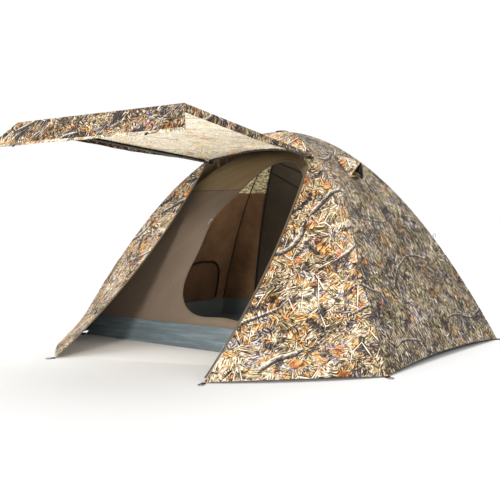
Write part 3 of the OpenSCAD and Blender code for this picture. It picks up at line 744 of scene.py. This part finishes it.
def cut_vent(panel, way):
    """Cuts the vent's hole straight down through a side panel."""
    corners = [(r0 * HALF_W, -y0), (r1 * HALF_W, -y1), (r1 * HALF_W, y1), (r0 * HALF_W, y0)]
    points = [(way * x, VENT_Y + y, z) for z in CUT_Z for x, y in corners[::way]]
    faces = [(3, 2, 1, 0), (4, 5, 6, 7)]
    faces += [(i, (i + 1) % 4, (i + 1) % 4 + 4, i + 4) for i in range(4)]
    cutter = new_object("cutter", points, faces, [])
    cut = panel.modifiers.new("vent", "BOOLEAN")
    cut.object = cutter
    cut.operation = "DIFFERENCE"
    bpy.context.view_layer.objects.active = panel
    bpy.ops.object.modifier_apply(modifier=cut.name)
    bpy.data.objects.remove(cutter)


for way, name in SIDES:
    p = handed(side_p, way)
    panel = cloth("fly_side_" + name, p, (camo_side_painted_shade, olive, olive))
    cut_vent(panel, way)
    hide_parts("fly_%s_panel" % name)
    sheet(panel, "tent")
    # The net across the hole
    a, b = grid(np.linspace(r0 + 0.001, r1 - 0.001, 12), np.linspace(-1, 1, 17))
    half = mix(y0, y1, (a - r0) / (r1 - r0)) - 0.0008
    net_p = handed(on_side(a, VENT_Y + half * b) * 0.9995, way)
    mesh = cloth("vent_net_" + name, net_p, (insect_net,), NET_T)
    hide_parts("vent_mesh_" + name)
    sheet(mesh, "tent")
    # The peaked hood
    a, b = grid(spread(0, 1, 22, (0, 0.05)), np.linspace(-1, 1, 41))
    peak = 1 - np.abs(b) ** 1.25
    hood_p = on_side(mix(r0 - HOOD_START, MOUTH_R - MOUTH_LEAN * peak, a),
                     VENT_Y + mix(HOOD_TOP_HALF, MOUTH_HALF, a) * b)
    hood_p = hood_p + (HOOD_OFF + MOUTH_RISE * a ** 0.8 * peak)[..., None] * roof_out
    hood_p = press(hood_p, 0.0015 * ripple(hood_p, 14.0, 3.1) * (a * peak))
    hood_p = handed(hood_p, way)
    hood = cloth("vent_hood_cloth_" + name, hood_p, (camo_roof, hood_painted_shade_lining, black_tape), HEAVY_T)
    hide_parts("vent_hood_" + name)
    sheet(hood, "tent")

V, C = grid(spread(0, 1, 90, (0, 0.012)), np.linspace(0, 1, 81))
T = 1 - 2 * C
R = mix(TIP, hem_r(T), V)
back_p = back_at(R, T, FLY, SAG)
fold = 0.0045 * ripple(back_p, 2.4, 9.0, (0.8, 1.5)) + 0.0016 * ripple(back_p, 9.0, 7.0)
for k in (-1, 1):
    fold += creases(back_p, (k * HALF_W, HALF_L, 0), 0.004, 13, 0.3, 1.3 + k)
back_p = press(back_p, edge_fade(back_p, 0.06) * fold)
back = cloth("fly_back", back_p, (camo_side_painted_shade, camo_lining, olive))
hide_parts("fly_back_panel")
sheet(back, "tent")

# ---- Vestibule sides ----

foot_r = float(share(HEM_Z, FLY[2]))
brow_z = float(height(BROW_R, FLY[2]))
# Rows from the brow to the ground, closer at the brow, and three columns more behind the pole
rows = np.concatenate([[BROW_R + 0.002, BROW_R + 0.006], np.linspace(BROW_R + 0.012, foot_r, 80)])
cols = np.concatenate([np.linspace(0, 1, 49), [1.35, 1.7, 2.0]])
R, T = grid(rows, cols)
s = np.minimum((brow_z - height(R, FLY[2])) / (brow_z - HEM_Z), 1)
# Across a row: the free edge, the pole, and the seam with the side panel
free = edge_at(s)
pole = stack(R * HALF_W, -R * HALF_L, height(R, FLY[2]))
seam = side_at(R, -1 + stray(R), FLY, SAG) - (0, 2 * SEAM_GAP, 0)
t = np.minimum(T, 1)[..., None]
k = np.clip(T - 1, 0, 1)[..., None]
wing_p = np.where(T[..., None] <= 1, mix(free, pole, t), mix(pole, seam, k))
# Only the lowest fifth swells out to the hem
low = np.maximum(0, (s - 0.8) / 0.2)[..., None]
wing_out = np.array([-STAKE[1] - HALF_L, STAKE[0] - HALF_W, 0])
wing_out /= np.linalg.norm(wing_out)
wing_p += 4 * t * (1 - t) * low * (HEM_FLARE * wing_out + (0, 0, FRONT_LIFT))
fold = 0.0035 * ripple(wing_p, 3.2, 2.9, (1.3, 0.8)) + 0.0014 * ripple(wing_p, 10.0, 3.0)
fold += creases(wing_p, STAKE, 0.0045, 12, 0.22, 0.2)
fold += creases(wing_p, (HALF_W, -HALF_L, 0), 0.004, 12, 0.26, 1.1)
fold += creases(wing_p, brow_corner, 0.004, 12, 0.25, 2.0)
wing_p = press(wing_p, edge_fade(wing_p) * fold)
for way, name in SIDES:
    p = handed(wing_p, way)
    wing = cloth("vestibule_" + name, p, (camo_vestibule, olive, camo_vestibule))
    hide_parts("vestibule_%s_panel" % name)
    sheet(wing, "tent")
    line = (edge_at(np.linspace(0.05, 0.985, 60)) - (0.008, 0, 0)) * (way, 1, 1)
    zip_tape = tape("zip_tape_cloth_" + name, line, door_out, (-way, 0, 0), 0.012, (drab_tape,))
    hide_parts("zip_tape_" + name)
    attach(zip_tape, "tent")

# ---- Awning ----


def awning_at(u, t):
    """The awning as it stands raised: u from brow to ridge, t from left to right."""
    u = np.asarray(u, float)
    t = np.asarray(t, float)
    ridge = stack(t * RIDGE[0], RIDGE[1], RIDGE[2])
    p = mix(brow_at(t), ridge, u[..., None])
    p[..., 2] -= AWNING_SAG * np.sin(np.pi * u) * (1 - t * t)
    return p


U, T = grid(spread(0, 1, 90), np.linspace(-1, 1, 81))
awning_p = awning_at(U, T)
fold = 0.004 * ripple(awning_p, 2.6, 5.5, (1.0, 0.8)) + 0.0014 * ripple(awning_p, 9.0, 8.0)
for k in (-1, 1):
    fold += creases(awning_p, brow_corner * (k, 1, 1), 0.005, 12, 0.30, 0.6 + k)
    fold += creases(awning_p, (k * RIDGE[0], RIDGE[1], RIDGE[2]), 0.005, 12, 0.26, k)
awning_p = press(awning_p, edge_fade(awning_p) * fold)
awning = cloth("awning_cloth", awning_p, (camo_awning, camo_within_painted_glow, camo_awning))
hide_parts("awning_panel")
sheet(awning)
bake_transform(awning)

SKIRT_W = (0.012, 0.038)  # the side skirts' width at the brow and from halfway on

for way, name in SIDES:
    U, K = grid(np.linspace(0, 1, 7), np.linspace(1, 0.004, 70))
    wide = mix(*SKIRT_W, np.minimum(2.2 * K, 1))
    flap = stack(0.35 - 0.5 * U, 0, -0.94)  # down, and first outwards, then inwards
    skirt_p = awning_at(K, 1 + 0 * K) + (0.001, 0, 0) + flap * (U * wide)[..., None]
    skirt_p = press(skirt_p, 0.003 * U * ripple(skirt_p, 9.0, 6.0 + way, (1, 0.3)))
    p = handed(skirt_p, way)
    skirt = cloth("awning_skirt_" + name, p, (camo_awning, camo_skirt_painted_shade, black_tape))
    if way > 0:
        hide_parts("awning_skirts")
    sheet(skirt, "awning")
    # Black piping along the side edge, thick and dark also as painted shadow in the fold over the
    # skirt
    k = np.linspace(0.03, 0.985, 60)
    line = awning_at(k, way + 0 * k) - (way * 0.009, 0, 0.006)
    piping = pipe("awning_edge_piping_" + name, line, 0.0045, (black_tape,))
    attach(piping, "awning")

HEM_OVER = 0.004  # the hem reaches this far past the CAD's valance, over its loops
HEM_BAND = 0.016  # the turned hem's width, in a plainer cloth

fall = np.array([0, -math.cos(VALANCE_SLOPE), -math.sin(VALANCE_SLOPE)])
K, T = grid(spread(0, VALANCE_W + HEM_OVER, 20, (0, 0.08)), np.linspace(-1, 1, 81))
down = K / VALANCE_W
out = T * (1 + VALANCE_FLARE * K / VALANCE_W) * RIDGE[0]
val_p = stack(out, RIDGE[1] + fall[1] * K, RIDGE[2] + fall[2] * K)
val_p[..., 2] -= 0.003 * np.abs(np.cos(np.pi * T * 1.5)) * down  # it hangs in shallow swags
fold = 0.004 * ripple(val_p, 4.0, 2.2, (1, 0.4)) + 0.0015 * ripple(val_p, 12.0, 1.0)
val_p = press(val_p, np.sin(np.pi * np.minimum(down, 1)) * fold)
valance = cloth("valance_cloth", val_p, (camo_awning, camo_within_painted_glow, camo_awning))
valance.data.materials.append(camo_lining)
hem = min(q.co.z for q in valance.data.vertices) + HEM_BAND
for face in valance.data.polygons:
    if face.center.z < hem:
        face.material_index = 3
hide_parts("valance_panel")
sheet(valance)
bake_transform(valance)

# ---- Inner tent ----

NET, LIT = 3, 0  # slots of the back wall's materials
SEAM_SHARE = 0.70  # its seams, as a share of its half width
TAPE_R = 0.0065


def door_reach(b):
    """How far the doorway's edge is from its middle, at turn b to the left of straight up."""
    c = np.cos
    return (0.444 + 0.046 * c(b) - 0.022 * c(2 * b) + 0.063 * c(3 * b) + 0.010 * np.sin(3 * b)
            + 0.022 * c(6 * b))


def on_front(x, z):
    return stack(x, -share(z, INNER[2]) * INNER[1] / 2, z)


def door_edge(b, more):
    """A line in the front wall, more outside the doorway's edge."""
    k = door_reach(b) + more
    return on_front(DOOR[0] - k * np.sin(b), DOOR[1] + k * np.cos(b))


def wall_more(b):
    """How far past the doorway's edge the front wall reaches: to the poles, or down to the tub."""
    near, far = door_reach(b), np.full(b.shape, INNER[0])
    for _ in range(24):
        k = (near + far) / 2
        x, z = DOOR[0] - k * np.sin(b), DOOR[1] + k * np.cos(b)
        half = share(np.clip(z, 0, INNER[2] - 1e-6), INNER[2]) * INNER[0] / 2
        within = (z > WALL_FOOT) & (z < INNER[2]) & (np.abs(x) < half)
        near, far = np.where(within, k, near), np.where(within, far, k)
    return k - door_reach(b)


wall_foot = float(share(WALL_FOOT, INNER[2]))
half = wall_foot * INNER[0] / 2
# The turns at which the wall's lower corners are seen from the doorway's middle
left_turn = math.atan2(DOOR[0] + half, WALL_FOOT - DOOR[1])
right_turn = 2 * math.pi + math.atan2(DOOR[0] - half, WALL_FOOT - DOOR[1])
B = np.concatenate([np.linspace(0, left_turn, 61), np.linspace(left_turn, right_turn, 69)[1:],
                    np.linspace(right_turn, 2 * math.pi, 65)[1:-1]])
reach = wall_more(B)
bands = np.linspace(0, 1, 26)[:, None]
wall_p = door_edge(B[None, :] + 0 * bands, mix(0.008, reach[None, :], bands))
# It draws in a little between the doorway and its edges
wall_p[..., 1] += 0.010 * np.sin(np.pi * bands) * np.minimum(reach / 0.1, 1)
wall = cloth("inner_front_cloth", wall_p, (taupe, brown, taupe), WALL_T, loop=True)
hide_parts("inner_front_wall")
sheet(wall, "tent")

# The zip's tape, crowned: how far outside the doorway's edge, and how far off the wall
crown = ((-0.004, -0.0004), (0.0, -0.002), (0.004, -0.0024), (0.009, -0.0008))
zip_p = np.array([door_edge(B, more) + (0, lift, 0) for more, lift in crown])
door_zip = cloth("door_zip_tape", zip_p, (drab_tape,), loop=True)
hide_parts("inner_door_zip")
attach(door_zip, "tent")


def inner_panel(name, fn, rows, cols, mats, seed, way=1):
    """A wall of the inner tent, drawn in a little between its edges."""
    r, t = grid(rows, cols)
    p = handed(fn(r, t, INNER), way)
    pulled = creases(p, p[-1, -6], 0.0045, 11, 0.22, seed)
    p = press(p, edge_fade(p, 0.04) * (0.005 * ripple(p, 3.0, seed) + pulled - 0.004))
    o = cloth(name, p, mats, WALL_T)
    sheet(o, "tent")
    return o


def inner_tape(name, line, r):
    """A black seam tape of radius r inside the room."""
    o = pipe(name, line, r, (black_tape,), (1, 0, 0.1), 8)
    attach(o, "tent")


seam_r = float(share(SEAM_H, INNER[2]))
back_wall = inner_panel("inner_back_cloth", back_at, np.linspace(0.004, wall_foot, 50),
                        np.linspace(1, -1, 61), (brown, painted_shade_brown, brown), 1.0)
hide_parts("inner_back_wall")
# Seen from inside, its middle between two seams is dark brown as painted shade; outside them it is
# brown as painted glow, with net near the top
back_wall.data.materials.append(inner_net)
inside_from = len(back_wall.data.vertices) // 2
for face in back_wall.data.polygons:
    q = face.center
    half = float(share(min(q.z, INNER[2] - 0.001), INNER[2])) * INNER[0] / 2
    if abs(q.x) > SEAM_SHARE * half:
        if q.z > SEAM_H:
            face.material_index = NET
        elif min(face.vertices) >= inside_from:
            face.material_index = LIT
for k, (way, name) in enumerate(SIDES):
    low_wall = inner_panel("inner_%s_cloth" % name, side_at, np.linspace(seam_r, wall_foot, 40),
                           np.linspace(-1, 1, 41), (brown,), 2.0 + k, way)
    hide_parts("inner_%s_wall" % name)
    top = inner_panel("inner_net_" + name, side_at, np.linspace(0.004, seam_r, 20),
                      np.linspace(-1, 1, 31), (inner_net,), 4.0 + k, way)
    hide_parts("inner_%s_mesh" % name)

# Black tape over the seams of the inner tent, and two slanting tapes high on its back wall
seam_rows = np.linspace(0.10, wall_foot, 40)
for k, share_x in enumerate((-1, -SEAM_SHARE, SEAM_SHARE, 1)):
    line = back_at(seam_rows, share_x + 0 * seam_rows, INNER) * (0.994, 0.982, 0.997)
    inner_tape("inner_seam_tape_%d" % k, line, TAPE_R if abs(share_x) < 1 else 0.003)
# Each end is a distance across and a share down the wall
slants = (("low", (-0.25, 0.31), (0.06, 0.525)), ("high", (-0.13, 0.25), (0.13, 0.42)))
for name, start, end in slants:
    x, r = (np.linspace(start[i], end[i], 14) for i in (0, 1))
    line = back_at(r, x / (r * INNER[0] / 2), INNER) * (1, 0.975, 0.995)
    inner_tape("inner_corner_tape_" + name, line, TAPE_R)

# The tub goes round the floor's corners and the middles of its sides
ring = np.array([(1, -1), (1, 0), (1, 1), (0, 1), (-1, 1), (-1, 0), (-1, -1), (0, -1)], float)
steps = np.linspace(0, 1, 13)[:-1, None]
around = np.concatenate([mix(a, b, steps) for a, b in zip(ring, np.roll(ring, -1, 0))])
tub_rows = []
for z in np.linspace(TUB_H, 0.004, 12):
    r = float(share(z, INNER[2]))
    line = stack(around[:, 0] * r * INNER[0] / 2, around[:, 1] * r * INNER[1] / 2, z)
    # Soft dents, least at its top and its foot
    wave = np.array([noise.noise(Vector((q[0] * 5, q[1] * 5, z * 8))) for q in line])
    line *= (1 - 0.004 * np.sin(np.pi * z / TUB_H) * (1 + wave))[:, None] * (1, 1, 0) + (0, 0, 1)
    tub_rows.append(line)
tub_p = np.array(tub_rows)
tub = cloth("tub_cloth", tub_p, (slate, slate_dark, slate), HEAVY_T, loop=True)
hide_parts("tub_walls")
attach(tub, "tent")

# The floor, flat at its edges and with wrinkles that stand up off the ground
U, K = grid(np.linspace(1, -1, 34), np.linspace(-1, 1, 52))
floor_p = stack(K * (INNER[0] / 2 - 0.004), U * (INNER[1] / 2 - 0.004), 0.0035)
floor_p[..., 2] += 0.0022 * np.abs(ripple(floor_p, 6.0, 3.0)) * (1 - K ** 8) * (1 - U ** 8)
ground = cloth("floor_cloth", floor_p, (slate_dark,), HEAVY_T)
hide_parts("floor_sheet")
sheet(ground, "tent")

# The rolled door follows the doorway's right edge, lumpy at its ties and smaller at its ends
B = np.radians(np.linspace(-114, -40, 60))
line = door_edge(B, 0.034) + (0, -0.028, 0)
k = np.linspace(0, 1, 60)
swell = 0.0185 + 0.0035 * np.cos(14 * k) * np.sin(np.pi * k) + 0.001 * np.sin(50 * k)
swell *= np.where((k < 0.04) | (k > 0.96), 0.75, 1.0)
roll = pipe("door_roll_cloth", line, swell, (olive,), (0, 1, 0), 24)
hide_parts("inner_door_roll")
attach(roll, "tent")

# The pocket on the left wall, with a dark zip round its arch
POCKET_Y = 0.22
POCKET_HALF = 0.28
POCKET_SIDE = 0.022  # its sides' height over the tub
POCKET_ARCH = 0.275  # and its arch's over them

v = np.linspace(-1, 1, 61)
top_z = TUB_H + POCKET_SIDE + POCKET_ARCH * (1 - np.abs(v) ** 3.5)
rows = []
for k in np.linspace(0, 1, 16):
    z = mix(top_z, TUB_H + 0.006, k)
    x = share(z, INNER[2]) * INNER[0] / 2
    rows.append(0.992 * stack(x, POCKET_Y + POCKET_HALF * v, z))
pocket_p = mirrored(np.array(rows))
pocket = cloth("wall_pocket_cloth", pocket_p, (pocket_cloth,))
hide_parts("wall_pocket")
sheet(pocket, "tent")
arch = pocket_p[0] * (0.995, 1, 1)
arch = pipe("wall_pocket_zip", arch, 0.0075, (black_tape,), (0, 1, 0.2), 8)
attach(arch, "tent")

# ---- Floor, light and camera ----

CAMERA_AT = (2.771, -3.920, 0.739)
CAMERA_DOWN = 2.47  # degrees below level
CAMERA_TURN = 37.55  # degrees from looking straight at the front
LENS = 56.68

bpy.ops.mesh.primitive_plane_add(size=60, location=(0, 0, 0))
studio = bpy.context.object
studio.name = "studio_floor"
s = Shader("studio_floor")
s.set(Base_Color=(0.70, 0.70, 0.70, 1), Roughness=0.9, Specular_IOR_Level=0.0)
studio.data.materials.append(s.mat)

world = bpy.data.worlds.new("studio")
bpy.context.scene.world = world
world.use_nodes = True
sky = world.node_tree.nodes["Background"]
sky.inputs["Color"].default_value = (1, 1, 1, 1)
sky.inputs["Strength"].default_value = 1.0


def light(name, kind, energy, colour, towards, at=(0, 0, 3), **more):
    lamp = bpy.data.lights.new(name, kind)
    lamp.energy = energy
    lamp.color = colour
    for key, value in more.items():
        setattr(lamp, key, value)
    o = bpy.data.objects.new(name, lamp)
    o.location = at
    o.rotation_euler = Vector(towards).to_track_quat("-Z", "Y").to_euler()
    bpy.context.scene.collection.objects.link(o)
    return o


light("key", "SUN", 2.2, (1.0, 0.97, 0.92), (-0.41, 1.0, -0.30), angle=math.radians(10))
light("top", "SUN", 1.5, (1.0, 1.0, 1.0), (0.15, -0.45, -0.88), angle=math.radians(60))
# Light off the ground in front, and the light that comes through the cloth
bounce = light("bounce", "AREA", 8.5, (1.0, 0.94, 0.84), (-0.15, 0.35, 1.0),
               (0.10, -1.20, 0.06), shape="DISK", size=0.8)
bounce.visible_camera = False
light("inside", "AREA", 9.0, (1.0, 0.92, 0.82), (-0.9, 0.25, -0.2), (0.45, -0.05, 0.80),
      shape="DISK", size=0.5)

cam = bpy.data.cameras.new("camera")
cam.lens = LENS
cam.sensor_width = 36
cam.clip_end = 200
camera = bpy.data.objects.new("camera", cam)
camera.location = CAMERA_AT
camera.rotation_euler = (math.radians(90 - CAMERA_DOWN), 0, math.radians(CAMERA_TURN))
scene = bpy.context.scene
scene.collection.objects.link(camera)
scene.camera = camera
scene.view_settings.view_transform = "Standard"

bpy.context.view_layer.update()
